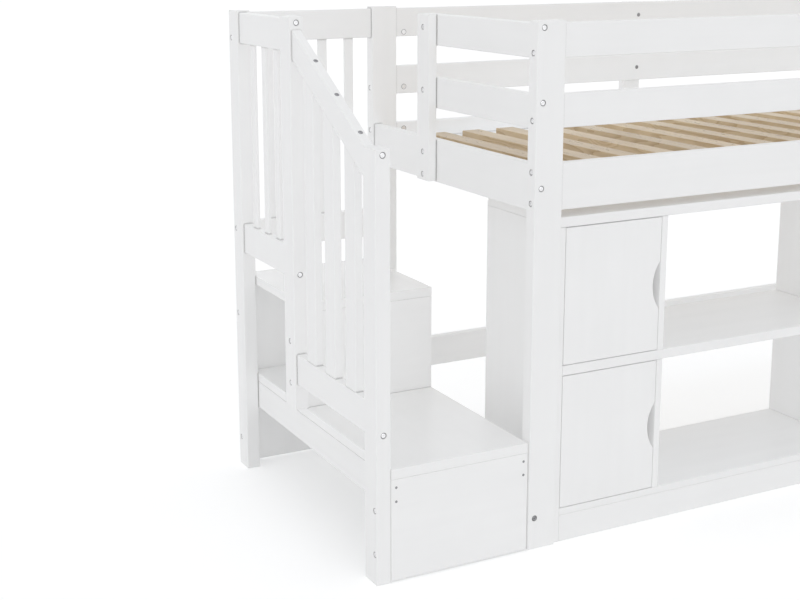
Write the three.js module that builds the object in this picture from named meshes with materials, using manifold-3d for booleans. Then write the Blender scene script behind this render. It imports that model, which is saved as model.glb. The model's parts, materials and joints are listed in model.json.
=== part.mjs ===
// Loft bed with a railed stair at its left end and a low bookcase under its front side.
// Millimetres. X runs along the bed, Y from its front side to its back, Z up.
// Pieces are set out from the bed's front left corner on the floor. The whole group
// is then moved so that the origin is the middle of the footprint, on the floor.

import * as THREE from 'three';
import { mergeVertices } from 'three/addons/utils/BufferGeometryUtils.js';
import Module from 'manifold-3d';

// Mattress and the play round it
const mattressLength = 2000;
const mattressWidth = 900;
const mattressEndPlay = 8;
const mattressSidePlay = 6;

// Sections of the bed's timber
const postWidth = 86;
const postDepth = 40;
const railThickness = 28;
const railHeight = 90;
const sideRailHeight = 126;
const stretcherHeight = 100;
const battenWidth = 70;
const railInset = 6;

// Levels of the bed
const postHeight = 1440;
const guardDrop = 6;
const guardSpacing = 92;
const battenLift = 4;
const backStretcherLift = 232;
const endStretcherLift = 45;
const entranceWidth = 336;

// Slat base
const slatWidth = 50;
const slatThickness = 15;
const slatPitch = 98;
const firstSlatGap = 36;
const slatEndGap = 8;
const slatDrop = 33;
const ledgerSize = 30;
const slatHousing = 1;

// Stair unit
const stairPostWidth = 42;
const stairPostDepth = 70;
const frontStairPostHeight = 1144;
const stairGap = 6;
const treadWidth = 416;
const treadThickness = 28;
const treadRise = 313;
const treadGoing = 538;
const riserThickness = 22;
const riserLift = 4;
const bearerHeight = 86;
const backPanelLift = 12;
const middlePostLap = 22;
const middlePostLift = 7;
const lowRailLift = 82;
const landingRailLift = 78;

// Handrail and the uprights of the stair's railing
const handrailDepth = 70;
const handrailLowDrop = 4;
const handrailHighDrop = 36;
const spindleWidth = 60;
const spindleThickness = 23;
const spindleCount = 3;
const railingSlatWidth = 30;
const railingSlatThickness = 10;
const railingSlatTenon = 8;
const sideSlatCount = 3;
const backSlatCount = 4;

// Bookcase
const bookcaseSetback = 8;
const bookcaseDepth = 364;
const bookcaseDrop = 21;
const panelThickness = 20;
const shelfThickness = 28;
const plinthHeight = 78;
const plinthThickness = 20;
const cupboardWidth = 321;
const cupboardBackThickness = 4;

// Doors and their finger notches
const doorThickness = 20;
const doorGap = 2;
const notchChord = 136;
const notchDepth = 23;
const notchCentreShare = 0.495;
const notchSteps = 16;

// Concealed door hinges
const hingeEndDistance = 80;
const cupRadius = 13;
const cupDepth = 9;
const cupEdgeDistance = 22.5;
const cupPlateHeight = 58;
const cupPlateWidth = 35;
const cupPlateThickness = 1.2;
const armHeight = 14;
const armLength = 70;
const armThickness = 9;
const armReach = 28;
const armNeck = 5;
const hingePlateHeight = 46;
const hingePlateDepth = 32;
const hingePlateThickness = 3;
const hingePlateSetback = 24;
const hingePlateEdge = 10;

// Counterbores of the connector bolts, with their distances from the edges of the rails
const boltBoreRadius = 8.5;
const boltBoreDepth = 4;
const boltBoreSides = 16;
const topBoltDrop = 11;
const guardBoltDrop = 21;
const lowBoltRise = 14;
const guardBoltRise = 22;
const battenBoltDrop = 37;
const panelBoltDrop = 95;
const panelBoltRise = 80;

// Fits and edges
const seatGap = 0.2;
const cutGap = 0.3;
const boardEdge = 3;
const panelEdge = 1.6;
const slatEdge = 2;
const endEase = 1.2;
const hingeEdge = 0.9;
const cornerSteps = 3;
const thinCornerSteps = 1;
const cupSides = 20;
const cutOverrun = 40;

// Bed outline and the lines of its rails
const insideLength = mattressLength + 2 * mattressEndPlay;
const insideWidth = mattressWidth + 2 * mattressSidePlay;
const bedLength = insideLength + 2 * (railThickness + railInset);
const bedDepth = insideWidth + 2 * (railThickness + railInset);
const nearRailLine = [railInset, railInset + railThickness];
const rightRailLine = [bedLength - railInset - railThickness, bedLength - railInset];
const backRailLine = [bedDepth - railInset - railThickness, bedDepth - railInset];
const betweenPosts = inside(postWidth, bedLength - postWidth);
const acrossPosts = inside(postDepth, bedDepth - postDepth);

// Levels that several pieces share
const upperGuard = [postHeight - guardDrop - railHeight, postHeight - guardDrop];
const lowerGuard = [upperGuard[0] - guardSpacing - railHeight, upperGuard[0] - guardSpacing];
const sideLevel = [lowerGuard[0] - guardSpacing - sideRailHeight, lowerGuard[0] - guardSpacing];
const battenLevel = [sideLevel[0] + battenLift, upperGuard[1]];

// Lines of the stair
const treadRight = -stairGap;
const treadLeft = treadRight - treadWidth;
const stairLeft = treadLeft - stairPostWidth;
const stairPostLine = [stairLeft, treadLeft - seatGap];
const railingMiddle = stairLeft + stairPostWidth / 2;
const railingLine = [railingMiddle - railThickness / 2, railingMiddle + railThickness / 2];
const treadLine = [treadLeft, treadRight];
const lowerTread = [treadRise - treadThickness, treadRise];
const upperTread = [2 * treadRise - treadThickness, 2 * treadRise];
const riserUpperLine = [treadGoing, treadGoing + riserThickness];
const middlePostY = [treadGoing - middlePostLap, treadGoing - middlePostLap + stairPostDepth];
const backStairPostY = [bedDepth - stairPostDepth, bedDepth];
const landingSpan = inside(middlePostY[1], backStairPostY[0]);
const flightSpan = inside(stairPostDepth, middlePostY[0]);
const landingRail = [upperTread[1] + landingRailLift, upperTread[1] + landingRailLift + railHeight];
const lowRail = [lowerTread[1] + lowRailLift, lowerTread[1] + lowRailLift + railHeight];

// Slope of the handrail, from the front stair post up to the middle one
const handrailFoot = new THREE.Vector3(0, stairPostDepth, frontStairPostHeight - handrailLowDrop);
const handrailHead = new THREE.Vector3(0, middlePostY[0], postHeight - handrailHighDrop);
const handrailRun = handrailHead.clone().sub(handrailFoot);
const handrailLength = handrailRun.length();

// Lines of the bookcase
const [bookcaseLeft, bookcaseRight] = betweenPosts;
const bookcaseInside = inside(bookcaseLeft + panelThickness, bookcaseRight - panelThickness);
const bookcaseFront = bookcaseSetback;
const bookcaseBack = bookcaseSetback + bookcaseDepth;
const bookcaseY = [bookcaseFront, bookcaseBack];
const bookcaseTop = sideLevel[0] - bookcaseDrop;
const bottomShelf = [plinthHeight, plinthHeight + panelThickness];
const topShelf = [bookcaseTop - shelfThickness, bookcaseTop];
const middleLevel = (bottomShelf[1] + topShelf[0]) / 2;
const middleShelf = [middleLevel - shelfThickness / 2, middleLevel + shelfThickness / 2];
const cupboardLeft = bookcaseLeft + panelThickness;
const leftDivider = [cupboardLeft + cupboardWidth, cupboardLeft + cupboardWidth + panelThickness];
const openMiddle = (leftDivider[1] + bookcaseRight - panelThickness) / 2;
const rightDivider = [openMiddle - panelThickness / 2, openMiddle + panelThickness / 2];
const doorLine = [cupboardLeft + doorGap, leftDivider[0] - doorGap];
const doorWidth = doorLine[1] - doorLine[0];
const doorBack = bookcaseFront + doorThickness;

// Paint, pine and metal
const whitePaint = new THREE.MeshStandardMaterial({ color: 0xf0f0ef, roughness: 0.38, metalness: 0 });
const pine = new THREE.MeshStandardMaterial({ color: 0xd9c19a, roughness: 0.62, metalness: 0 });
const nickel = new THREE.MeshStandardMaterial({ color: 0xb9bbbd, roughness: 0.3, metalness: 1 });

// Each grain direction with the two directions across it, in right-handed order
const axisX = new THREE.Vector3(1, 0, 0);
const axisY = new THREE.Vector3(0, 1, 0);
const axisZ = new THREE.Vector3(0, 0, 1);
const grainFrames = {
  x: new THREE.Matrix4().makeBasis(axisY, axisZ, axisX),
  y: new THREE.Matrix4().makeBasis(axisZ, axisX, axisY),
  z: new THREE.Matrix4().makeBasis(axisX, axisY, axisZ),
};

// Options of a board with eased ends
const eased = { ends: endEase };

const wasm = await Module();
wasm.setup();

// A span drawn in by the seat gap at both of its ends
function inside(low, high) {
  return [low + seatGap, high - seatGap];
}

// Size of a span
function sizeOf(span) {
  return span[1] - span[0];
}

// Middle of a span
function middleOf(span) {
  return (span[0] + span[1]) / 2;
}

// A closed mesh as a solid that can be joined and cut
function solidOf(geometry) {
  const bare = geometry.clone();
  bare.deleteAttribute('normal');
  bare.deleteAttribute('uv');
  const merged = mergeVertices(bare);
  const mesh = new wasm.Mesh({
    numProp: 3,
    vertProperties: merged.attributes.position.array,
    triVerts: new Uint32Array(merged.index.array),
  });
  return new wasm.Manifold(mesh);
}

// A joined or cut solid as a mesh again
function geometryOf(solid) {
  const mesh = solid.getMesh();
  const geometry = new THREE.BufferGeometry();
  geometry.setAttribute('position', new THREE.BufferAttribute(mesh.vertProperties, 3));
  geometry.setIndex(new THREE.BufferAttribute(mesh.triVerts, 1));
  geometry.computeVertexNormals();
  return geometry;
}

// Several closed meshes joined into one
function joined(geometries) {
  const solids = geometries.map(solidOf);
  return geometryOf(solids.reduce((sum, solid) => sum.add(solid)));
}

// A named piece whose own origin is the given point, or else its lowest corner
function piece(name, geometry, material, origin) {
  geometry.computeBoundingBox();
  const corner = origin ?? geometry.boundingBox.min.clone();
  geometry.translate(-corner.x, -corner.y, -corner.z);
  const mesh = new THREE.Mesh(geometry, material);
  mesh.name = name;
  mesh.position.copy(corner);
  return mesh;
}

// A rectangle with round corners, from zero to its width and height
function roundedRectangle(width, height, radius, steps) {
  const centres = [
    [width - radius, radius],
    [width - radius, height - radius],
    [radius, height - radius],
    [radius, radius],
  ];
  const points = [];
  centres.forEach(([x, y], corner) => {
    for (let step = 0; step <= steps; step += 1) {
      const angle = (Math.PI / 2) * (corner - 1 + step / steps);
      points.push(new THREE.Vector2(x + radius * Math.cos(angle), y + radius * Math.sin(angle)));
    }
  });
  return new THREE.Shape(points);
}

// An outline pushed through a depth, with its end edges eased when an ease is given
function extruded(outline, depth, ease = 0) {
  const geometry = new THREE.ExtrudeGeometry(outline, {
    depth: depth - 2 * ease,
    bevelEnabled: ease > 0,
    bevelThickness: ease,
    bevelSize: ease,
    bevelOffset: -ease,
    bevelSegments: 2,
  });
  geometry.translate(0, 0, ease);
  return geometry;
}

// A board that fills three spans, round-edged along its grain, its ends eased on request
function board(x, y, z, grain, { edge = boardEdge, steps = cornerSteps, ends = 0 } = {}) {
  const sizes = { x: [sizeOf(y), sizeOf(z), sizeOf(x)], y: [sizeOf(z), sizeOf(x), sizeOf(y)] };
  const [width, height, length] = sizes[grain] ?? [sizeOf(x), sizeOf(y), sizeOf(z)];
  const radius = Math.min(edge, width / 3, height / 3);
  const geometry = extruded(roundedRectangle(width, height, radius, steps), length, ends);
  geometry.applyMatrix4(grainFrames[grain]);
  geometry.translate(x[0], y[0], z[0]);
  return geometry;
}

// A bolt's counterbore, from a point on a face into the timber
function counterbore([x, y, z], into) {
  const length = boltBoreDepth + cutOverrun;
  const bore = new THREE.CylinderGeometry(boltBoreRadius, boltBoreRadius, length, boltBoreSides);
  bore.applyQuaternion(new THREE.Quaternion().setFromUnitVectors(axisY, into));
  const middle = into.clone().multiplyScalar((boltBoreDepth - cutOverrun) / 2);
  bore.translate(x + middle.x, y + middle.y, z + middle.z);
  return bore;
}

// A white painted piece with counterbores cut into it
function bored(name, geometry, bores) {
  const solid = bores.reduce((rest, bore) => rest.subtract(solidOf(bore)), solidOf(geometry));
  return piece(name, geometryOf(solid), whitePaint);
}

// A board as a white painted piece
function painted(name, x, y, z, grain, options) {
  return piece(name, board(x, y, z, grain, options), whitePaint);
}

// Heights of the bolts that hold the end rails, high in each rail
function endBoltLevels() {
  const guards = [upperGuard[1] - topBoltDrop, lowerGuard[1] - guardBoltDrop];
  return [...guards, middleOf(sideLevel), endStretcherLift + railHeight / 2];
}

// Heights of the bolts that hold the long rails, low in each rail so that they clear the others
function longBoltLevels(row) {
  const guards = [upperGuard[0] + lowBoltRise, lowerGuard[0] + guardBoltRise];
  const sides = [sideLevel[1] - guardBoltDrop, sideLevel[0] + guardBoltRise];
  const stretcher = row === 'back' ? [backStretcherLift + stretcherHeight / 2] : [];
  return [...guards, ...sides, ...stretcher];
}

// The four posts of the bed, bored on both outer faces
function bedPosts() {
  const sides = {
    left: { x: [0, postWidth], face: 0, rail: middleOf(nearRailLine), into: axisX },
    right: {
      x: [bedLength - postWidth, bedLength],
      face: bedLength,
      rail: middleOf(rightRailLine),
      into: axisX.clone().negate(),
    },
  };
  const rows = {
    front: { y: [0, postDepth], face: 0, rail: middleOf(nearRailLine), into: axisY },
    back: {
      y: [bedDepth - postDepth, bedDepth],
      face: bedDepth,
      rail: middleOf(backRailLine),
      into: axisY.clone().negate(),
    },
  };
  const posts = [];
  for (const [side, across] of Object.entries(sides)) {
    for (const [row, along] of Object.entries(rows)) {
      const post = board(across.x, along.y, [0, postHeight], 'z', eased);
      const bores = [
        ...endBoltLevels().map((z) => counterbore([across.rail, along.face, z], along.into)),
        ...longBoltLevels(row).map((z) => counterbore([across.face, along.rail, z], across.into)),
      ];
      posts.push(bored(`bed_post_${row}_${side}`, post, bores));
    }
  }
  return posts;
}

// Side rails and the two guard rails above each of them
function longRails() {
  const rows = { front: nearRailLine, back: backRailLine };
  const rails = [];
  for (const [row, y] of Object.entries(rows)) {
    rails.push(painted(`side_rail_${row}`, betweenPosts, y, sideLevel, 'x', eased));
    rails.push(painted(`guard_rail_${row}_lower`, betweenPosts, y, lowerGuard, 'x', eased));
    rails.push(painted(`guard_rail_${row}_upper`, betweenPosts, y, upperGuard, 'x', eased));
  }
  return rails;
}

// Upright battens that tie the long rails together halfway along the bed
function guardBattens() {
  const x = [(bedLength - battenWidth) / 2, (bedLength + battenWidth) / 2];
  const front = [nearRailLine[0] - railThickness, nearRailLine[0] - seatGap];
  const back = [backRailLine[1] + seatGap, backRailLine[1] + railThickness];
  return [
    painted('guard_batten_front', x, front, battenLevel, 'z', eased),
    painted('guard_batten_back', x, back, battenLevel, 'z', eased),
  ];
}

// Left end: its guard rails stop at the batten beside the entrance from the stair
function leftEnd() {
  const entrance = bedDepth - postDepth - entranceWidth;
  const guardY = [acrossPosts[0], entrance];
  const battenX = [nearRailLine[0] - railThickness, nearRailLine[0] - seatGap];
  const battenY = [entrance - battenWidth, entrance];
  const stretcher = [endStretcherLift, endStretcherLift + railHeight];
  const batten = board(battenX, battenY, battenLevel, 'z', eased);
  const boltLevels = [
    upperGuard[1] - battenBoltDrop,
    lowerGuard[1] - battenBoltDrop,
    sideLevel[1] - battenBoltDrop,
    sideLevel[0] + guardBoltRise,
  ];
  const bores = boltLevels.map((z) => counterbore([battenX[0], middleOf(battenY), z], axisX));
  return [
    painted('end_rail_left', nearRailLine, acrossPosts, sideLevel, 'y', eased),
    painted('end_guard_left_lower', nearRailLine, guardY, lowerGuard, 'y', eased),
    painted('end_guard_left_upper', nearRailLine, guardY, upperGuard, 'y', eased),
    bored('entrance_batten', batten, bores),
    painted('end_stretcher_left', nearRailLine, acrossPosts, stretcher, 'y', eased),
  ];
}

// Right end, closed over its full width
function rightEnd() {
  const stretcher = [endStretcherLift, endStretcherLift + railHeight];
  return [
    painted('end_rail_right', rightRailLine, acrossPosts, sideLevel, 'y', eased),
    painted('end_guard_right_lower', rightRailLine, acrossPosts, lowerGuard, 'y', eased),
    painted('end_guard_right_upper', rightRailLine, acrossPosts, upperGuard, 'y', eased),
    painted('end_stretcher_right', rightRailLine, acrossPosts, stretcher, 'y', eased),
  ];
}

// Stretcher that ties the back posts together below the bed
function backStretcher() {
  const z = [backStretcherLift, backStretcherLift + stretcherHeight];
  return painted('back_stretcher', betweenPosts, backRailLine, z, 'x', eased);
}

// Slats let into two ledgers that run along the side rails
function slatBase() {
  const slatZ = [sideLevel[1] - slatDrop - slatThickness, sideLevel[1] - slatDrop];
  const ledgerZ = [slatZ[0] + slatHousing - ledgerSize, slatZ[0] + slatHousing];
  const frontLedger = [nearRailLine[1] + seatGap, nearRailLine[1] + ledgerSize];
  const backLedger = [backRailLine[0] - ledgerSize, backRailLine[0] - seatGap];
  const slatY = [nearRailLine[1] + slatEndGap, backRailLine[0] - slatEndGap];
  const slim = { edge: slatEdge, steps: thinCornerSteps };
  const count = Math.floor((insideLength - firstSlatGap - slatWidth) / slatPitch) + 1;
  const boards = [
    board(betweenPosts, frontLedger, ledgerZ, 'x', slim),
    board(betweenPosts, backLedger, ledgerZ, 'x', slim),
  ];
  for (let index = 0; index < count; index += 1) {
    const left = nearRailLine[1] + firstSlatGap + index * slatPitch;
    boards.push(board([left, left + slatWidth], slatY, slatZ, 'y', slim));
  }
  return piece('slat_base', joined(boards), pine);
}

// Front post of the stair: bolts into the handrail and low rail, and into the lower riser
function frontStairPost() {
  const post = board(stairPostLine, [0, stairPostDepth], [0, frontStairPostHeight], 'z', eased);
  const railBolts = [handrailFoot.z - topBoltDrop, lowRail[0] + lowBoltRise];
  const riserBolts = [lowerTread[0] - panelBoltRise, riserLift + panelBoltRise];
  return bored('stair_post_front', post, [
    ...railBolts.map((z) => counterbore([railingMiddle, 0, z], axisY)),
    ...riserBolts.map((z) => counterbore([stairLeft, riserThickness / 2, z], axisX)),
  ]);
}

// Middle post: it hangs beside the upper riser, and rails meet it from both sides
function middleStairPost() {
  const z = [lowerTread[1] + middlePostLift, postHeight];
  const post = board(stairPostLine, middlePostY, z, 'z', eased);
  const landingBolts = [upperGuard[1] - topBoltDrop, landingRail[0] + lowBoltRise];
  const flightBolts = [handrailHead.z - handrailHighDrop, lowRail[0] + guardBoltRise];
  const riserBolts = [upperTread[0] - panelBoltRise, lowerTread[1] + panelBoltRise];
  const back = axisY.clone().negate();
  return bored('stair_post_middle', post, [
    ...landingBolts.map((level) => counterbore([railingMiddle, middlePostY[0], level], axisY)),
    ...flightBolts.map((level) => counterbore([railingMiddle, middlePostY[1], level], back)),
    ...riserBolts.map((level) => counterbore([stairLeft, middleOf(riserUpperLine), level], axisX)),
  ]);
}

// Back post: bolts into the rails beside and behind the landing, and into the back panel
function backStairPost() {
  const post = board(stairPostLine, backStairPostY, [0, postHeight], 'z', eased);
  const sideBolts = [upperGuard[1] - topBoltDrop, landingRail[0] + lowBoltRise];
  const backBolts = [upperGuard[0] + lowBoltRise, landingRail[1] - guardBoltDrop];
  const panelBolts = [upperTread[0] - panelBoltDrop, backPanelLift + panelBoltRise];
  const levels = [...backBolts, ...panelBolts];
  const back = axisY.clone().negate();
  return bored('stair_post_back', post, [
    ...sideBolts.map((z) => counterbore([railingMiddle, bedDepth, z], back)),
    ...levels.map((z) => counterbore([stairLeft, middleOf(backRailLine), z], axisX)),
  ]);
}

// Risers, treads, the bearers of the long lower tread and the panel behind them
function stairSteps() {
  const fine = { edge: panelEdge, ends: endEase };
  const bearerZ = [lowerTread[0] - bearerHeight, lowerTread[0] - seatGap];
  const bearerY = inside(riserThickness, backRailLine[0]);
  const outerBearer = [treadLeft, treadLeft + railThickness];
  const innerBearer = [treadRight - railThickness, treadRight];
  const lowerRiserZ = [riserLift, lowerTread[0] - seatGap];
  const upperRiserZ = inside(lowerTread[1], upperTread[0]);
  const lowerTreadY = [0, backRailLine[0] - seatGap];
  const upperTreadY = [treadGoing, backRailLine[1]];
  const panelX = [treadLeft, -seatGap];
  const panelZ = [backPanelLift, upperTread[0] - seatGap];
  return [
    painted('stair_riser_lower', treadLine, [0, riserThickness], lowerRiserZ, 'x', fine),
    painted('stair_riser_upper', treadLine, riserUpperLine, upperRiserZ, 'x', fine),
    painted('stair_tread_lower', treadLine, lowerTreadY, lowerTread, 'y', fine),
    painted('stair_tread_upper', treadLine, upperTreadY, upperTread, 'y', fine),
    painted('stair_bearer_outer', outerBearer, bearerY, bearerZ, 'y', fine),
    painted('stair_bearer_inner', innerBearer, bearerY, bearerZ, 'y', fine),
    painted('stair_back_panel', panelX, backRailLine, panelZ, 'x', fine),
  ];
}

// Places of equal uprights that leave equal gaps in a span
function spread(span, count, width) {
  const gap = (sizeOf(span) - count * width) / (count + 1);
  const places = [];
  for (let index = 0; index < count; index += 1) {
    const start = span[0] + gap + index * (gap + width);
    places.push([start, start + width]);
  }
  return places;
}

// Plain rails of the stair's railing: beside the landing, behind it and beside the flight
function railingRails() {
  const backX = inside(treadLeft, 0);
  return [
    painted('stair_side_rail_upper', railingLine, landingSpan, upperGuard, 'y', eased),
    painted('stair_back_rail_upper', backX, backRailLine, upperGuard, 'x', eased),
    painted('stair_low_rail', railingLine, flightSpan, lowRail, 'y', eased),
  ];
}

// Lower landing rail with its thin slats, which stand up to the rail above
function sideSlatRail() {
  const slatX = [railingMiddle - railingSlatThickness / 2, railingMiddle + railingSlatThickness / 2];
  const slatZ = [landingRail[1] - railingSlatTenon, upperGuard[0] - seatGap];
  const slim = { edge: slatEdge, steps: thinCornerSteps };
  const boards = [board(railingLine, landingSpan, landingRail, 'y', eased)];
  for (const slatY of spread(landingSpan, sideSlatCount, railingSlatWidth)) {
    boards.push(board(slatX, slatY, slatZ, 'z', slim));
  }
  return piece('stair_side_rail_lower', joined(boards), whitePaint);
}

// The same behind the landing, between the back stair post and the bed
function backSlatRail() {
  const middle = middleOf(backRailLine);
  const span = inside(treadLeft, 0);
  const slatY = [middle - railingSlatThickness / 2, middle + railingSlatThickness / 2];
  const slatZ = [landingRail[1] - railingSlatTenon, upperGuard[0] - seatGap];
  const slim = { edge: slatEdge, steps: thinCornerSteps };
  const boards = [board(span, backRailLine, landingRail, 'x', eased)];
  for (const slatX of spread(span, backSlatCount, railingSlatWidth)) {
    boards.push(board(slatX, slatY, slatZ, 'z', slim));
  }
  return piece('stair_back_rail_lower', joined(boards), whitePaint);
}

// A bar of the handrail's thickness that lies along its slope, overlong at both ends
function slopedBar(depth, radius) {
  const along = handrailRun.clone().normalize();
  const down = along.clone().cross(axisX);
  const outline = roundedRectangle(railThickness, depth, radius, cornerSteps);
  const bar = extruded(outline, handrailLength + 2 * cutOverrun);
  const start = handrailFoot.clone().addScaledVector(along, -cutOverrun);
  bar.applyMatrix4(new THREE.Matrix4().makeBasis(axisX, down, along));
  bar.translate(railingLine[0], start.y, start.z);
  return bar;
}

// Handrail: a sloped bar cut upright where it meets the posts
function handrail() {
  const gauge = new THREE.BoxGeometry(3 * railThickness, sizeOf(flightSpan), 2 * postHeight);
  gauge.translate(railingMiddle, middleOf(flightSpan), postHeight);
  const bar = solidOf(slopedBar(handrailDepth, boardEdge));
  return piece('stair_handrail', geometryOf(bar.intersect(solidOf(gauge))), whitePaint);
}

// Spindles between the low rail and the handrail, their tops cut to its slope
function spindles() {
  const bar = solidOf(slopedBar(handrailDepth + cutGap, boardEdge));
  const x = [railingMiddle - spindleThickness / 2, railingMiddle + spindleThickness / 2];
  const z = [lowRail[1] + seatGap, handrailFoot.z];
  return spread(flightSpan, spindleCount, spindleWidth).map((y, index) => {
    const rise = (handrailRun.z / handrailRun.y) * (y[0] - handrailFoot.y);
    const stick = board(x, y, [z[0], z[1] + rise - cutGap], 'z');
    return piece(`stair_spindle_${index + 1}`, geometryOf(solidOf(stick).subtract(bar)), whitePaint);
  });
}

// Carcass of the bookcase: the shelves run through between the two side panels
function bookcaseCarcass() {
  const square = { edge: panelEdge };
  const sideZ = [0, topShelf[0] - seatGap];
  const leftX = [bookcaseLeft, bookcaseLeft + panelThickness];
  const rightX = [bookcaseRight - panelThickness, bookcaseRight];
  const topX = [bookcaseLeft, bookcaseRight];
  const plinthY = [bookcaseFront, bookcaseFront + plinthThickness];
  const plinthZ = [0, plinthHeight - seatGap];
  return [
    painted('bookcase_side_left', leftX, bookcaseY, sideZ, 'z', square),
    painted('bookcase_side_right', rightX, bookcaseY, sideZ, 'z', square),
    painted('bookcase_top', topX, bookcaseY, topShelf, 'x', eased),
    painted('bookcase_bottom', bookcaseInside, bookcaseY, bottomShelf, 'x', square),
    painted('bookcase_middle_shelf', bookcaseInside, bookcaseY, middleShelf, 'x', square),
    painted('bookcase_plinth', bookcaseInside, plinthY, plinthZ, 'x', square),
  ];
}

// Dividers stand between the shelves, in a lower and an upper piece each
function bookcaseDividers() {
  const lines = { left: leftDivider, right: rightDivider };
  const levels = {
    lower: inside(bottomShelf[1], middleShelf[0]),
    upper: inside(middleShelf[1], topShelf[0]),
  };
  const dividers = [];
  for (const [side, x] of Object.entries(lines)) {
    for (const [level, z] of Object.entries(levels)) {
      const name = `bookcase_divider_${side}_${level}`;
      dividers.push(painted(name, x, bookcaseY, z, 'z', { edge: panelEdge }));
    }
  }
  return dividers;
}

// Thin back that closes only the cupboard behind the doors
function cupboardBack() {
  const x = [bookcaseLeft, leftDivider[1]];
  const y = [bookcaseBack + seatGap, bookcaseBack + cupboardBackThickness];
  const z = [bottomShelf[0], topShelf[0] + shelfThickness / 2];
  return painted('cupboard_back', x, y, z, 'z', { edge: panelEdge, steps: thinCornerSteps });
}

// Door outline, seen from the front, with a half-moon finger notch in its free edge
function doorOutline(height) {
  const radius = ((notchChord / 2) ** 2 + notchDepth ** 2) / (2 * notchDepth);
  const centre = new THREE.Vector2(doorWidth + radius - notchDepth, height * notchCentreShare);
  const half = Math.asin(notchChord / 2 / radius);
  const points = [new THREE.Vector2(0, 0), new THREE.Vector2(doorWidth, 0)];
  for (let step = 0; step <= notchSteps; step += 1) {
    const angle = Math.PI + half * (1 - (2 * step) / notchSteps);
    const reach = new THREE.Vector2(Math.cos(angle), Math.sin(angle)).multiplyScalar(radius);
    points.push(centre.clone().add(reach));
  }
  points.push(new THREE.Vector2(doorWidth, height), new THREE.Vector2(0, height));
  return new THREE.Shape(points);
}

// Heights of a door's two hinges
function hingeLevels(doorZ) {
  return [doorZ[0] + hingeEndDistance, doorZ[1] - hingeEndDistance];
}

// Hinge cup: its plate stands on the door's back and its hollow is sunk into the door
function cupPlate(level) {
  const x = doorLine[0] + cupEdgeDistance;
  const plateX = [x - cupPlateWidth / 2, x + cupPlateWidth / 2];
  const plateY = [doorBack - cupPlateThickness, doorBack + cupPlateThickness];
  const plateZ = [level - cupPlateHeight / 2, level + cupPlateHeight / 2];
  return board(plateX, plateY, plateZ, 'y', { edge: cupPlateWidth / 3 });
}

// Round hollow of a hinge cup
function cupHollow(level) {
  const depth = cupDepth + cutOverrun;
  const hollow = new THREE.CylinderGeometry(cupRadius, cupRadius, depth, cupSides);
  hollow.translate(doorLine[0] + cupEdgeDistance, doorBack - cupDepth + depth / 2, level);
  return hollow;
}

// A door with its two hinge cups; its own origin lies on the hinge line
function door(name, doorZ) {
  const slab = extruded(doorOutline(sizeOf(doorZ)), doorThickness, endEase);
  slab.applyMatrix4(new THREE.Matrix4().makeBasis(axisX, axisZ, axisY.clone().negate()));
  slab.translate(doorLine[0], doorBack, doorZ[0]);
  let solid = solidOf(slab);
  for (const level of hingeLevels(doorZ)) {
    solid = solid.add(solidOf(cupPlate(level)));
    solid = solid.subtract(solidOf(cupHollow(level)));
  }
  return piece(name, geometryOf(solid), whitePaint, new THREE.Vector3(doorLine[0], bookcaseFront, doorZ[0]));
}

// Outline of a hinge arm from above: along the side panel, then bent over to the cup
function armOutline() {
  const wall = cupboardLeft + hingePlateThickness - seatGap;
  const face = doorBack + cupPlateThickness + cutGap;
  const tip = wall + armReach;
  const rear = face + armLength;
  const bend = face + armThickness;
  const points = [
    [wall, rear],
    [wall, bend + armThickness],
    [wall + armNeck, face],
    [tip, face],
    [tip, face + armNeck],
    [wall + armThickness + armNeck, bend],
    [wall + armThickness, bend + armThickness],
    [wall + armThickness, rear],
  ];
  return new THREE.Shape(points.map(([x, y]) => new THREE.Vector2(x, y)));
}

// Fixed half of a concealed hinge: a plate on the side panel and the arm that it carries
function hinge(name, level) {
  const plateX = [cupboardLeft + seatGap, cupboardLeft + hingePlateThickness];
  const plateY = [doorBack + hingePlateSetback, doorBack + hingePlateSetback + hingePlateDepth];
  const plateZ = [level - hingePlateHeight / 2, level + hingePlateHeight / 2];
  const plate = board(plateX, plateY, plateZ, 'x', { edge: hingePlateEdge });
  const arm = extruded(armOutline(), armHeight, hingeEdge);
  arm.translate(0, 0, level - armHeight / 2);
  return piece(name, joined([plate, arm]), nickel);
}

// Two doors, one above the other, each on two hinges
function doorsAndHinges() {
  const doors = {
    lower: [bottomShelf[1] + doorGap, middleShelf[0] - doorGap],
    upper: [middleShelf[1] + doorGap, topShelf[0] - doorGap],
  };
  const meshes = [];
  for (const [place, doorZ] of Object.entries(doors)) {
    const [low, high] = hingeLevels(doorZ);
    meshes.push(door(`door_${place}`, doorZ));
    meshes.push(hinge(`hinge_${place}_door_bottom`, low));
    meshes.push(hinge(`hinge_${place}_door_top`, high));
  }
  return meshes;
}

const bed = new THREE.Group();
bed.add(...bedPosts(), ...longRails(), ...guardBattens(), ...leftEnd(), ...rightEnd());
bed.add(backStretcher(), slatBase());

const stair = new THREE.Group();
stair.add(frontStairPost(), middleStairPost(), backStairPost(), ...stairSteps());
stair.add(...railingRails(), sideSlatRail(), backSlatRail(), handrail(), ...spindles());

const bookcase = new THREE.Group();
bookcase.add(...bookcaseCarcass(), ...bookcaseDividers(), cupboardBack(), ...doorsAndHinges());

const loftBed = new THREE.Group();
loftBed.name = 'loft_bed_with_stair';
loftBed.position.set(-(stairLeft + bedLength) / 2, -bedDepth / 2, 0);
loftBed.add(bed, stair, bookcase);

export default loftBed;
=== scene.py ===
import json
import math

import bmesh
import bpy
from mathutils import Matrix, Vector

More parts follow.
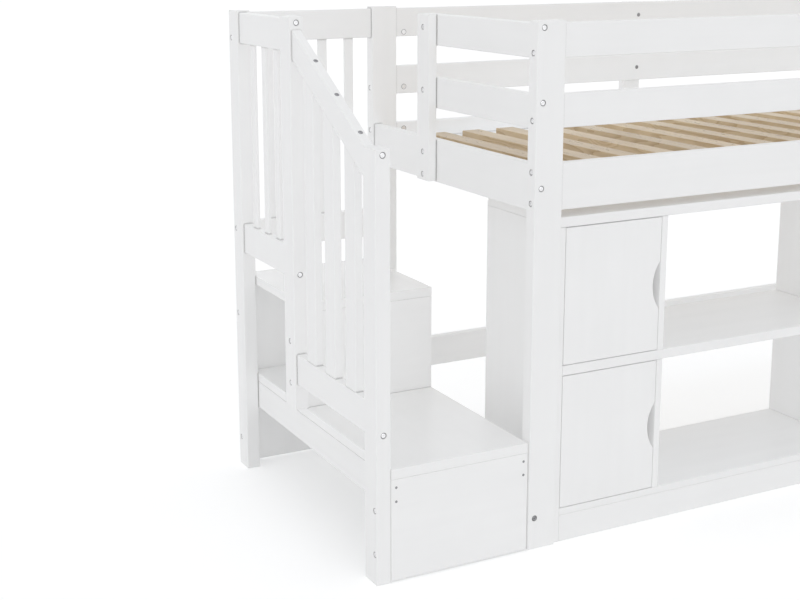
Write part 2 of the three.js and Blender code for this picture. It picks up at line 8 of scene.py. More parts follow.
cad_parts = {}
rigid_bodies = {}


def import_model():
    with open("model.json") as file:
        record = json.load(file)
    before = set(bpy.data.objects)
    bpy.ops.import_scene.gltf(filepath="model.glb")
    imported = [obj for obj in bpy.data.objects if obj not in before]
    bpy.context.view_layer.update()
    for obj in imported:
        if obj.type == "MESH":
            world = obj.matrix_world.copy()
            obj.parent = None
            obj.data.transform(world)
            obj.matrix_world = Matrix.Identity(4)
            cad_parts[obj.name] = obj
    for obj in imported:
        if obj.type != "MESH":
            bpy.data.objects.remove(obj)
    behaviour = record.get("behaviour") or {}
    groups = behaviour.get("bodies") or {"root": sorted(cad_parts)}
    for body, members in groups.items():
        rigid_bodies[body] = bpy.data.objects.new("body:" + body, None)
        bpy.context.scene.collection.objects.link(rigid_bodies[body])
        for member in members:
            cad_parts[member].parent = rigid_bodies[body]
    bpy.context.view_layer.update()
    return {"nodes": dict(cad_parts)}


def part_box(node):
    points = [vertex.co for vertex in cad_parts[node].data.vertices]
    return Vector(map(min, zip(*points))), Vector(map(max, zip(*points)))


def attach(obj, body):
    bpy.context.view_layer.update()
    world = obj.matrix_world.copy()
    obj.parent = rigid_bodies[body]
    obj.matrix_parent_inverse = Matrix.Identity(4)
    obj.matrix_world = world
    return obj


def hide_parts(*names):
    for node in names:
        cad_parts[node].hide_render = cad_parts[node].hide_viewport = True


# The scene starts empty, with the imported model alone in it
for leftover in list(bpy.data.objects):
    bpy.data.objects.remove(leftover, do_unlink=True)
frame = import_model()
nodes = frame["nodes"]
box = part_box

# Directions
LEFT = Vector((-1, 0, 0))
RIGHT = Vector((1, 0, 0))
FRONT = Vector((0, -1, 0))
BACK = Vector((0, 1, 0))
UP = Vector((0, 0, 1))

# Camera: place in metres, turns in degrees, focal length and principal point in pixels
CAMERA_PLACE = Vector((-2.7264, -3.3871, 1.6295))
CAMERA_YAW = 27.214
CAMERA_PITCH = 11.914
CAMERA_ROLL = -0.143
FOCAL_PIXELS = 1351.46
PRINCIPAL_POINT = (388.87, 230.0)
IMAGE_SIZE = (800, 600)
SENSOR_WIDTH = 36.0

# Surround: strengths of its light and of its look, where 1 is white
WORLD_COLOUR = (0.985, 0.988, 1.0)
WORLD_STRENGTH = 0.69
BACKGROUND_STRENGTH = 1.0

# Fill lamps: broad suns without shadows, all but the top one tilted a little down
SOFT_SUN_ANGLE = 40.0
FILL_TILT = -0.25
NEUTRAL_LIGHT = (1.0, 1.0, 1.0)
COOL_LIGHT = (0.92, 0.97, 1.0)
FILLS = {
    "fill_front": {"toward": (0.0, 1.0, FILL_TILT), "strength": 0.55, "colour": NEUTRAL_LIGHT},
    "fill_left": {"toward": (1.0, 0.0, FILL_TILT), "strength": 0.45, "colour": NEUTRAL_LIGHT},
    "fill_back": {"toward": (0.0, -1.0, FILL_TILT), "strength": 0.35, "colour": NEUTRAL_LIGHT},
    "fill_right": {"toward": (-1.0, 0.0, FILL_TILT), "strength": 0.30, "colour": NEUTRAL_LIGHT},
    "fill_top": {"toward": (0.0, 0.0, -1.0), "strength": 0.27, "colour": COOL_LIGHT},
}

# Strip lamp in the bed: sizes in metres, power in watts
STRIP_PLACE = Vector((0.32, 0.16, 1.12))
STRIP_LENGTH = 1.8
STRIP_HEIGHT = 0.06
STRIP_POWER = 0.5
STRIP_COLOUR = (0.62, 0.80, 1.0)

# Floor: lift is the glow that the eye alone sees
FLOOR_SIZE = 600.0
FLOOR_CELLS = 8
FLOOR_COLOUR = 0.86
FLOOR_CLOUD_GAIN = 1.01
FLOOR_CLOUD_SCALE = 1.5
FLOOR_ROUGHNESS = 0.9
FLOOR_LIFT = 0.24

# Ranges of a value: all of it, and the same turned round
WHOLE = (0.0, 1.0)
REVERSED = (1.0, 0.0)

# Paint: linear colours, heights in metres, and scales in features per metre, along and across
# the grain where there are two
PAINT_COLOUR = (0.90, 0.90, 0.898)
PAINT_SHADE = 0.975
PAINT_TONES = (0.7, 1.3)
FIBRE_SCALES = (5.0, 170.0)
FIGURE_SCALES = (1.6, 22.0)
STIPPLE_SCALE = 780.0
CLOUD_SCALE = 4.5
GRAIN_HEIGHT = 0.0004
STIPPLE_BUMP = 0.05
STIPPLE_HEIGHT = 0.00012

# Darker rounded edges of the paint: reach in metres, and how deep the darkening goes as the clouds
# thicken
PAINT_EDGE_COLOUR = (0.81, 0.807, 0.80)
EDGE_REACH = 0.003
EDGE_SAMPLES = 4
EDGE_FLATNESS = (0.86, 0.99)
EDGE_DARKENING_CLOUDS = (0.35, 0.7)
EDGE_DARKENING_DEPTHS = (0.5, 0.95)

# Painted shade in the paint's joints and inner corners, standing in for the shade that the
# shadowless lamps leave out: reach in metres
JOINT_SHADE_COLOUR = (0.42, 0.415, 0.41)
JOINT_SHADE_REACH = 0.006
JOINT_SHADE_SAMPLES = 6
JOINT_SHADE_OPENNESS = (0.5, 1.0)

# Sheen of the paint: how fibres and clouds carry its roughness below and above its own
SHEEN_FIBRE_SHARE = 0.5
SHEEN_TONES = (0.45, 1.05)
SHEEN_SPREAD = (-0.045, 0.06)

# Paints of solid timber, of panels and of the treads, each with how strong its painted shade in
# joints is, and the words that tell a panel
PAINTS = {
    "timber": {"roughness": 0.42, "grain_bump": 0.05, "gloss": 0.25, "joint_shade_strength": 0.7},
    "panel": {"roughness": 0.36, "grain_bump": 0.012, "gloss": 0.35, "joint_shade_strength": 0.12},
    "tread": {"roughness": 0.2, "grain_bump": 0.01, "gloss": 0.5, "joint_shade_strength": 0.4},
}
PANEL_WORDS = ("bookcase", "cupboard", "door", "riser", "panel")

# Pine: linear colours, heights in metres, and scales in features per metre along x, y and z,
# where y is the grain
PINE_LIGHT = (0.59, 0.46, 0.295)
PINE_DARK = (0.40, 0.275, 0.145)
PINE_TONES = (0.1, 0.9)
PINE_ROUGHNESS = (0.36, 0.26)
PINE_FIBRE_SCALES = (420.0, 9.0, 420.0)
FIBRE_BUMP = 0.3
FIBRE_HEIGHT = 0.00025

# Growth lines of the pine: warped by noise, bowed round the knots, and dark in late wood
WARP_SCALES = (9.0, 1.4, 9.0)
WARP_GAIN = 2.4
BOW_REACH = 0.30
BOW_GAIN = 0.6
RING_COUNT = 5.0
RING_SHARE = 0.62
RING_BUMP = 0.25
RING_HEIGHT = 0.0003
LATE_WOOD = (0.45, 1.0)

# Knots of the pine, each with a halo, from their middle outwards as the texture measures it
KNOT_COLOUR = (0.19, 0.085, 0.03)
KNOT_SCALES = (9.0, 3.4, 9.0)
KNOT_EDGE = (0.035, 0.075)
KNOT_DEPTH = 0.92
HALO_EDGE = (0.06, 0.17)
HALO_DEPTH = 0.4

# What differs from slat to slat: its place in the texture, spread over so many metres, its
# brightness, and whether it is clear of knots
SLAT_SPREAD = 7.0
SLAT_BRIGHTNESS = (0.9, 1.06)
CLEAR_DRAWS = 13.0
CLEAR_SHARE = 0.25

# Metal: linear colours, heights in metres, and scales in features per metre
METALS = {
    "steel": {"name": "bright_steel", "colour": (0.97, 0.97, 0.98), "roughness": 0.26},
    "dark_steel": {"name": "dark_steel", "colour": (0.22, 0.22, 0.23), "roughness": 0.4},
    # As rims of bolts and nuts, and as the low bolts of the bed posts, rim_steel and dark_steel are
    # painted shade
    "rim_steel": {"name": "rim_steel", "colour": (0.35, 0.35, 0.36), "roughness": 0.4},
}
METAL_SHADE = 0.8
METAL_TONES = (0.6, 1.4)
METAL_CLOUD_SCALE = 160.0
MARK_SCALES = (900.0, 900.0, 2600.0)
MARK_TONES = (0.3, 0.7)
MARK_SPREAD = (-0.06, 0.1)
MARK_BUMP = 0.15
MARK_HEIGHT = 0.00005

# Bolts: their counterbores' depth, and distances from the edges of the rails they hold
BORE_DEPTH = 0.004
TOP_BOLT_DROP = 0.011
GUARD_BOLT_DROP = 0.021
LOW_BOLT_RISE = 0.014
GUARD_BOLT_RISE = 0.022
BATTEN_BOLT_DROP = 0.037
PANEL_BOLT_DROP = 0.095
PANEL_BOLT_RISE = 0.080
NUT_SETBACK = 0.029

# Places of the handrail's ends on their posts, as the solids have them, and how far each bolt
# stands off its spindle's middle, up the slope
HANDRAIL_LOW_DROP = 0.004
HANDRAIL_HIGH_DROP = 0.036
HANDRAIL_DEPTH = 0.070
HANDRAIL_BOLT_SHIFTS = (-0.0105, 0.0025, 0.007)

# Screws of the lower riser: distances from its ends and from its top
RISER_SCREW_LEFT = 0.015
RISER_SCREW_RIGHT = 0.013
RISER_SCREW_DROPS = (0.0225, 0.061)

# Fittings of the concealed hinges: places on the door and on the hinge's plate
CUP_EDGE_DISTANCE = 0.0225
CUP_SCREW_RISE = 0.0215
PLATE_THICKNESS = 0.0028
PLATE_SCREW_SETBACK = 0.0385
PLATE_SCREW_RISE = 0.0155

# Slats
SLAT_WIDTH = 0.065
SLAT_THICKNESS = 0.020
SLAT_PITCH = 0.1285
FIRST_SLAT_GAP = 0.008
SLAT_FRONT_GAP = 0.008
SLAT_BACK_GAP = 0.060
SLAT_EDGE_RADIUS = 0.0022
LEDGER_WIDTHS = {"front": 0.030, "back": 0.080}
LEDGER_END_GAP = 0.0002
LEDGER_EDGE_RADIUS = 0.002
ROUNDED = {"segments": 3, "profile": 0.5}

# Outlines of turned fittings: points round a ring, and how narrow a cross recess gets
ROUND_STEPS = 24
CROSS_NARROW = 0.35


def round_outline(angle):
    """Reach of a circle at an angle, as a share of its radius."""
    return 1.0


def hexagon_outline(angle):
    """Reach of a hexagon at an angle, as a share of half its width."""
    return 1 / math.cos(angle % (math.pi / 3) - math.pi / 6)


def cross_outline(angle):
    """Reach of a cross recess at an angle, as a share of its arms."""
    return CROSS_NARROW + (1 - CROSS_NARROW) * math.cos(2 * angle) ** 4


# Radii and heights of turned fittings
BOLT_RADIUS = 0.0064
BOLT_HEIGHT = 0.0031
SOCKET_RADIUS = 0.0026
SOCKET_DEPTH = 0.0022
RIM_FOOT_RADIUS = 0.0082
RIM_TOP_RADIUS = 0.0072
NUT_RADIUS = 0.0072
NUT_HEIGHT = 0.0009
NUT_RIM_RADIUS = 0.0086
CAP_RADIUS = 0.0065
CAP_HEIGHT = 0.0012
SCREW_RADIUS = 0.0036
SCREW_HEIGHT = 0.0005
CUP_RADIUS = 0.0129
CUP_DEPTH = 0.0098
CUP_SHEET = 0.0006
CUP_FLANGE_RADIUS = 0.0152
CUP_SEAT_LIFT = CUP_SHEET * 0.1

# Profiles of turned fittings: each ring's outline, its radius, and its height over the seat
BOLT_HEAD = (
    (round_outline, BOLT_RADIUS, 0.0),
    (round_outline, BOLT_RADIUS, BOLT_HEIGHT * 0.72),
    (round_outline, BOLT_RADIUS * 0.95, BOLT_HEIGHT * 0.92),
    (round_outline, BOLT_RADIUS * 0.84, BOLT_HEIGHT),
    (hexagon_outline, SOCKET_RADIUS * 1.12, BOLT_HEIGHT),
    (hexagon_outline, SOCKET_RADIUS, BOLT_HEIGHT * 0.93),
    (hexagon_outline, SOCKET_RADIUS * 0.97, BOLT_HEIGHT - SOCKET_DEPTH),
)
# Dark rim round a bolt head: painted shade in its counterbore
BOLT_SHADE_RIM = (
    (round_outline, RIM_FOOT_RADIUS, 0.0),
    (round_outline, RIM_FOOT_RADIUS, BOLT_HEIGHT * 0.15),
    (round_outline, RIM_TOP_RADIUS, BOLT_HEIGHT * 0.8),
    (round_outline, BOLT_RADIUS * 0.5, BOLT_HEIGHT * 0.2),
)
BARREL_NUT = (
    (round_outline, NUT_RADIUS, 0.0),
    (round_outline, NUT_RADIUS, NUT_HEIGHT * 0.6),
    (round_outline, NUT_RADIUS * 0.93, NUT_HEIGHT),
    (round_outline, NUT_RADIUS * 0.5, NUT_HEIGHT),
    (round_outline, NUT_RADIUS * 0.46, NUT_HEIGHT * 0.2),
)
# Dark rim round a barrel nut: painted shade round its hole
NUT_SHADE_RIM = (
    (round_outline, NUT_RIM_RADIUS, 0.0),
    (round_outline, NUT_RIM_RADIUS, NUT_HEIGHT * 0.3),
    (round_outline, NUT_RADIUS * 0.9, NUT_HEIGHT * 0.3),
    (round_outline, NUT_RADIUS * 0.4, NUT_HEIGHT * 0.1),
)
LOW_CAP = (
    (round_outline, CAP_RADIUS, 0.0),
    (round_outline, CAP_RADIUS, CAP_HEIGHT * 0.35),
    (round_outline, CAP_RADIUS * 0.86, CAP_HEIGHT * 0.75),
    (round_outline, CAP_RADIUS * 0.6, CAP_HEIGHT),
    (hexagon_outline, SOCKET_RADIUS, CAP_HEIGHT),
    (hexagon_outline, SOCKET_RADIUS * 0.97, CAP_HEIGHT * 0.25),
)
SCREW_HEAD = (
    (round_outline, SCREW_RADIUS, 0.0),
    (round_outline, SCREW_RADIUS, SCREW_HEIGHT * 0.4),
    (round_outline, SCREW_RADIUS * 0.86, SCREW_HEIGHT),
    (cross_outline, SCREW_RADIUS * 0.6, SCREW_HEIGHT),
    (cross_outline, SCREW_RADIUS * 0.5, SCREW_HEIGHT * 0.1),
)
HINGE_CUP = (
    (round_outline, CUP_RADIUS, -CUP_DEPTH),
    (round_outline, CUP_RADIUS, CUP_SEAT_LIFT),
    (round_outline, CUP_FLANGE_RADIUS, CUP_SEAT_LIFT),
    (round_outline, CUP_FLANGE_RADIUS, CUP_SHEET),
    (round_outline, CUP_RADIUS - CUP_SHEET, CUP_SHEET),
    (round_outline, CUP_RADIUS - 2 * CUP_SHEET, CUP_SHEET - CUP_DEPTH),
)


def middle(span, axis):
    """Middle of a box along the x, y or z axis."""
    low, high = span
    return (getattr(low, axis) + getattr(high, axis)) / 2


class Tree:
    """A node tree, built by short calls."""

    def __init__(self, node_tree):
        self.tree = node_tree

    def add(self, kind, sockets=None, **settings):
        """A node with its settings, its sockets set or linked."""
        node = self.tree.nodes.new(kind)
        for key, value in settings.items():
            setattr(node, key, value)
        for key, value in (sockets or {}).items():
            self.put(node.inputs[key], value)
        return node

    def put(self, socket, value):
        """A socket linked to another one, or set to a value."""
        if isinstance(value, bpy.types.NodeSocket):
            self.tree.links.new(value, socket)
        else:
            socket.default_value = value

    def noise(self, vector, scale, detail=2.0, roughness=0.5, distortion=0.0):
        """Factor of a noise texture."""
        sockets = {"Vector": vector, "Scale": scale, "Detail": detail}
        sockets |= {"Roughness": roughness, "Distortion": distortion}
        return self.add("ShaderNodeTexNoise", sockets).outputs["Fac"]

    def stretched(self, vector, scales):
        """Coordinates scaled along each axis."""
        mapping = self.add("ShaderNodeMapping", {"Vector": vector, "Scale": scales})
        return mapping.outputs["Vector"]

    def ranged(self, value, source, target):
        """A value carried from one range to another, held at its ends."""
        sockets = {"Value": value, "From Min": source[0], "From Max": source[1]}
        sockets |= {"To Min": target[0], "To Max": target[1]}
        return self.add("ShaderNodeMapRange", sockets).outputs["Result"]

    def maths(self, operation, first, second=0.0):
        """One calculation with two values."""
        node = self.add("ShaderNodeMath", {0: first, 1: second}, operation=operation)
        return node.outputs["Value"]

    def mixed(self, factor, first, second):
        """Two colours mixed, each a socket or three numbers."""
        node = self.add("ShaderNodeMix", data_type="RGBA")
        inputs = {socket.identifier: socket for socket in node.inputs}
        self.put(inputs["Factor_Float"], factor)
        for identifier, colour in (("A_Color", first), ("B_Color", second)):
            self.put(inputs[identifier], (*colour, 1.0) if isinstance(colour, tuple) else colour)
        return next(socket for socket in node.outputs if socket.identifier == "Result_Color")

    def bump(self, height, strength, distance, normal=None):
        """A bump, on top of an earlier one where there is one."""
        sockets = {"Height": height, "Strength": strength, "Distance": distance}
        if normal is not None:
            sockets["Normal"] = normal
        return self.add("ShaderNodeBump", sockets).outputs["Normal"]

    def place(self):
        """The object's own coordinates, in metres."""
        return self.add("ShaderNodeTexCoord").outputs["Object"]

    def edge(self, reach):
        """1 on edges and corners, 0 on the flat."""
        bevel = self.add("ShaderNodeBevel", {"Radius": reach}, samples=EDGE_SAMPLES)
        flat = self.add("ShaderNodeNewGeometry").outputs["Normal"]
        sockets = {0: bevel.outputs["Normal"], 1: flat}
        along = self.add("ShaderNodeVectorMath", sockets, operation="DOT_PRODUCT")
        return self.ranged(along.outputs["Value"], EDGE_FLATNESS, REVERSED)

    def joint_shade_mask(self, reach):
        """Mask of painted shade: 1 in joints and inner corners, 0 in the open and close to the
        floor.
        """
        sockets = {"Distance": reach}
        near = self.add("ShaderNodeAmbientOcclusion", sockets, samples=JOINT_SHADE_SAMPLES)
        hidden = self.ranged(near.outputs["AO"], JOINT_SHADE_OPENNESS, REVERSED)
        level = self.add("ShaderNodeSeparateXYZ", {"Vector": self.place()}).outputs["Z"]
        raised = self.ranged(level, (reach, 2 * reach), WHOLE)
        return self.maths("MULTIPLY", hidden, raised)

    def seen(self):
        """1 for what the eye sees, straight or by way of gloss or glass, and 0 for other light."""
        path = self.add("ShaderNodeLightPath")
        seen = self.maths("MAXIMUM", path.outputs["Is Camera Ray"], path.outputs["Is Glossy Ray"])
        return self.maths("MAXIMUM", seen, path.outputs["Is Transmission Ray"])


class Finish(Tree):
    """A new material, and the node tree of its shader."""

    def __init__(self, name):
        self.material = bpy.data.materials.new(name)
        self.material.use_nodes = True
        super().__init__(self.material.node_tree)
        self.shader = self.tree.nodes["Principled BSDF"]

    def shade(self, **sockets):
        """The shader's own sockets, their names written with underscores for spaces."""
        for name, value in sockets.items():
            self.put(self.shader.inputs[name.replace("_", " ")], value)


def along_grain(grain, along, across):
    """Scales that draw a texture out along one axis."""
    return tuple(along if axis == grain else across for axis in "xyz")


def around(value, spread):
    """A range from below a value to above it."""
    return tuple(value + part for part in spread)


def paint(name, grain, facts):
    """Satin white paint: telegraphed grain, roller stipple, darker rounded edges, and painted shade
    in joints and inner corners.
    """
    tree = Finish(name)
    place = tree.place()
    fibre_place = tree.stretched(place, along_grain(grain, *FIBRE_SCALES))
    fibres = tree.noise(fibre_place, 1.0, detail=3.0, roughness=0.6)
    figure_place = tree.stretched(place, along_grain(grain, *FIGURE_SCALES))
    figure = tree.noise(figure_place, 1.0, detail=4.0, roughness=0.55, distortion=0.6)
    stipple = tree.noise(place, STIPPLE_SCALE)
    cloud = tree.noise(place, CLOUD_SCALE, detail=3.0, roughness=0.6)
    tone = tree.ranged(tree.maths("ADD", figure, cloud), PAINT_TONES, WHOLE)
    darker = tuple(part * PAINT_SHADE for part in PAINT_COLOUR)
    colour = tree.mixed(tone, darker, PAINT_COLOUR)
    edge_depth = tree.ranged(cloud, EDGE_DARKENING_CLOUDS, EDGE_DARKENING_DEPTHS)
    edge = tree.maths("MULTIPLY", tree.edge(EDGE_REACH), edge_depth)
    colour = tree.mixed(edge, colour, PAINT_EDGE_COLOUR)
    # Painted shade: joints and inner corners are darkened in the colour itself
    joint_shade = tree.maths("MULTIPLY", tree.joint_shade_mask(JOINT_SHADE_REACH), facts["joint_shade_strength"])
    colour = tree.mixed(joint_shade, colour, JOINT_SHADE_COLOUR)
    sheen = tree.maths("ADD", tree.maths("MULTIPLY", fibres, SHEEN_FIBRE_SHARE), cloud)
    rough = tree.ranged(sheen, SHEEN_TONES, around(facts["roughness"], SHEEN_SPREAD))
    grained = tree.bump(tree.maths("ADD", fibres, figure), facts["grain_bump"], GRAIN_HEIGHT)
    normal = tree.bump(stipple, STIPPLE_BUMP, STIPPLE_HEIGHT, grained)
    tree.shade(Base_Color=colour, Roughness=rough, Normal=normal)
    tree.shade(Specular_IOR_Level=facts["gloss"])
    return tree.material


def pine():
    """Planed pine across the bed: growth lines, fibres and a few dark knots."""
    tree = Finish("planed_pine")
    luck = tree.add("ShaderNodeObjectInfo").outputs["Random"]
    offset = tree.add("ShaderNodeCombineXYZ", {"X": tree.maths("MULTIPLY", luck, SLAT_SPREAD)})
    shifted = tree.add("ShaderNodeVectorMath", {0: tree.place(), 1: offset.outputs["Vector"]})
    place = shifted.outputs["Vector"]
    sockets = {"Vector": tree.stretched(place, KNOT_SCALES), "Scale": 1.0}
    away = tree.add("ShaderNodeTexVoronoi", sockets).outputs["Distance"]
    chance = tree.maths("FRACT", tree.maths("MULTIPLY", luck, CLEAR_DRAWS))
    knotty = tree.maths("GREATER_THAN", chance, CLEAR_SHARE)
    warp = tree.noise(tree.stretched(place, WARP_SCALES), 1.0, detail=3.0, roughness=0.55)
    bow = tree.ranged(away, (0.0, BOW_REACH), (BOW_GAIN, 0.0))
    phase = tree.maths("ADD", tree.maths("MULTIPLY", warp, WARP_GAIN), bow)
    rings = tree.maths("FRACT", tree.maths("MULTIPLY", phase, RING_COUNT))
    late = tree.ranged(rings, LATE_WOOD, WHOLE)
    fibre_place = tree.stretched(place, PINE_FIBRE_SCALES)
    fibres = tree.noise(fibre_place, 1.0, detail=3.0, roughness=0.6)
    ring_tone = tree.maths("MULTIPLY", late, RING_SHARE)
    fibre_tone = tree.maths("MULTIPLY", fibres, 1 - RING_SHARE)
    tone = tree.maths("ADD", ring_tone, fibre_tone)
    wood = tree.mixed(tone, PINE_LIGHT, PINE_DARK)
    knot = tree.maths("MULTIPLY", tree.ranged(away, KNOT_EDGE, (KNOT_DEPTH, 0.0)), knotty)
    wood = tree.mixed(knot, wood, KNOT_COLOUR)
    halo = tree.maths("MULTIPLY", tree.ranged(away, HALO_EDGE, (HALO_DEPTH, 0.0)), knotty)
    wood = tree.mixed(halo, wood, PINE_DARK)
    brightness = tree.ranged(luck, WHOLE, SLAT_BRIGHTNESS)
    varied = tree.add("ShaderNodeHueSaturation", {"Color": wood, "Value": brightness})
    rough = tree.ranged(tone, PINE_TONES, PINE_ROUGHNESS)
    lines = tree.bump(late, RING_BUMP, RING_HEIGHT)
    normal = tree.bump(fibres, FIBRE_BUMP, FIBRE_HEIGHT, lines)
    tree.shade(Base_Color=varied.outputs["Color"], Roughness=rough, Normal=normal)
    return tree.material


def metal(name, colour, roughness):
    """Plated steel with fine turned marks."""
    tree = Finish(name)
    place = tree.place()
    marks = tree.noise(tree.stretched(place, MARK_SCALES), 1.0, detail=3.0, roughness=0.6)
    cloud = tree.noise(place, METAL_CLOUD_SCALE, detail=3.0)
    darker = tuple(part * METAL_SHADE for part in colour)
    tone = tree.ranged(tree.maths("ADD", marks, cloud), METAL_TONES, WHOLE)
    rough = tree.ranged(marks, MARK_TONES, around(roughness, MARK_SPREAD))
    normal = tree.bump(marks, MARK_BUMP, MARK_HEIGHT)
    tree.shade(Base_Color=tree.mixed(tone, darker, colour), Roughness=rough, Normal=normal)
    tree.shade(Metallic=1.0)
    return tree.material


def make_finishes():
    """All finishes, by name."""
    made = {"pine": pine()}
    for key, facts in METALS.items():
        made[key] = metal(**facts)
    for grain in "xyz":
        for kind, facts in PAINTS.items():
            made[f"{kind}_{grain}"] = paint(f"painted_{kind}_{grain}", grain, facts)
    return made


finishes = make_finishes()


def longest_axis(low, high):
    """Name of the axis along which a box is longest."""
    return max("xyz", key=lambda axis: getattr(high - low, axis))


def dress_nodes():
    """A finish for every CAD node, with its grain along the node."""
    for name, node in nodes.items():
        grain = longest_axis(*box(name))
        if name.startswith("hinge_"):
            finish = finishes["steel"]
        elif "tread" in name:
            finish = finishes[f"tread_{grain}"]
        elif any(word in name for word in PANEL_WORDS):
            finish = finishes[f"panel_{grain}"]
        else:
            finish = finishes[f"timber_{grain}"]
        for holder in node.material_slots:
            holder.material = finish


def piece(name, mesh_maker, finish, body="loft_bed"):
    """A piece made in mesh code, finished, slotted and riding on its body."""
    bm = bmesh.new()
    mesh_maker(bm)
    bmesh.ops.recalc_face_normals(bm, faces=bm.faces)
    mesh = bpy.data.meshes.new(name)
    bm.to_mesh(mesh)
    bm.free()
    mesh.materials.append(finishes[finish])
    made = bpy.data.objects.new(name, mesh)
    bpy.context.scene.collection.objects.link(made)
    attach(made, body)
    return made


def ring(matrix, outline, radius, height):
    """The points of an outline at a height."""
    points = []
    for step in range(ROUND_STEPS):
        angle = 2 * math.pi * step / ROUND_STEPS
        reach = radius * outline(angle)
        points.append(matrix @ Vector((reach * math.cos(angle), reach * math.sin(angle), height)))
    return points


def rings_to_skin(bm, rings):
    """Rings of points joined into one closed skin, its first and last ring filled."""
    made = [[bm.verts.new(point) for point in points] for points in rings]
    count = len(made[0])
    for lower, upper in zip(made, made[1:]):
        for this in range(count):
            following = (this + 1) % count
            bm.faces.new((lower[this], lower[following], upper[following], upper[this]))
    bm.faces.new(list(reversed(made[0])))
    bm.faces.new(made[-1])


def fittings(name, profile, spots, finish="steel", body="loft_bed"):
    """Many small turned fittings as one piece, each standing on its seat along its direction."""

    def maker(bm):
        for seat, out in spots:
            turn = out.to_track_quat("Z", "Y").to_matrix().to_4x4()
            matrix = Matrix.Translation(seat) @ turn
            rings_to_skin(bm, [ring(matrix, *row) for row in profile])

    piece(name, maker, finish, body)


def bolts(name, spots, finish="steel", rim_shade_finish="rim_steel"):
    """Bolt heads as one piece, and dark rims round them as another, painted shade in their
    counterbores.
    """
    fittings(name, BOLT_HEAD, spots, finish)
    fittings(f"{name}_rims", BOLT_SHADE_RIM, spots, rim_shade_finish)


def sunk(x, y, z, out):
    """Seat of a bolt head, at the bottom of the counterbore that opens at a point."""
    return Vector((x, y, z)) - out * BORE_DEPTH, out


def end_bolt_levels():
    """Heights of the bolts that hold the rails of the bed's ends, the stretcher's last."""
    upper, lower = box("guard_rail_front_upper"), box("guard_rail_front_lower")
    return [
        upper[1].z - TOP_BOLT_DROP,
        lower[1].z - GUARD_BOLT_DROP,
        middle(box("side_rail_front"), "z"),
        middle(box("end_stretcher_left"), "z"),
    ]


def long_bolt_levels(row):
    """Heights of the bolts that hold the long rails of one row."""
    upper, lower = box("guard_rail_front_upper"), box("guard_rail_front_lower")
    side = box("side_rail_front")
    levels = [
        upper[0].z + LOW_BOLT_RISE,
        lower[0].z + GUARD_BOLT_RISE,
        side[1].z - GUARD_BOLT_DROP,
        side[0].z + GUARD_BOLT_RISE,
    ]
    if row == "back":
        levels.append(middle(box("back_stretcher"), "z"))
    return levels


def bed_bolts():
    """Bolt heads in the counterbores of the bed posts, and the barrel nuts in the rails."""
    side_top = box("side_rail_front")[1].z
    levels = end_bolt_levels()
    heads, shaded_low_heads, nuts = [], [], []
    for end, into_x, out_x in (("left", RIGHT, LEFT), ("right", LEFT, RIGHT)):
        for row, into_y, out_y in (("front", BACK, FRONT), ("back", FRONT, BACK)):
            post = box(f"bed_post_{row}_{end}")
            rail = box(f"side_rail_{row}")
            cross = box(f"end_rail_{end}")
            outer_x, inner_x = (0, 1) if end == "left" else (1, 0)
            outer_y, inner_y = (0, 1) if row == "front" else (1, 0)
            for z in levels:
                held = shaded_low_heads if z == levels[-1] else heads
                held.append(sunk(middle(cross, "x"), post[outer_y].y, z, out_y))
                # The end guards stop at the entrance, so none reaches the back left post
                if z < side_top or (end, row) != ("left", "back"):
                    y = post[inner_y].y + into_y.y * NUT_SETBACK
                    nuts.append((Vector((cross[inner_x].x, y, z)), into_x))
            for z in long_bolt_levels(row):
                heads.append(sunk(post[outer_x].x, middle(rail, "y"), z, out_x))
                x = post[inner_x].x + into_x.x * NUT_SETBACK
                nuts.append((Vector((x, rail[inner_y].y, z)), into_y))
    bolts("bed_post_bolts", heads)
    # The stretcher's bolts are painted dark all over: painted shade in their sockets
    bolts("bed_post_low_bolts", shaded_low_heads, "rim_steel", "dark_steel")
    fittings("rail_barrel_nuts", BARREL_NUT, nuts)
    # The nuts' dark rims are painted shade
    fittings("rail_barrel_nut_rims", NUT_SHADE_RIM, nuts, "rim_steel")


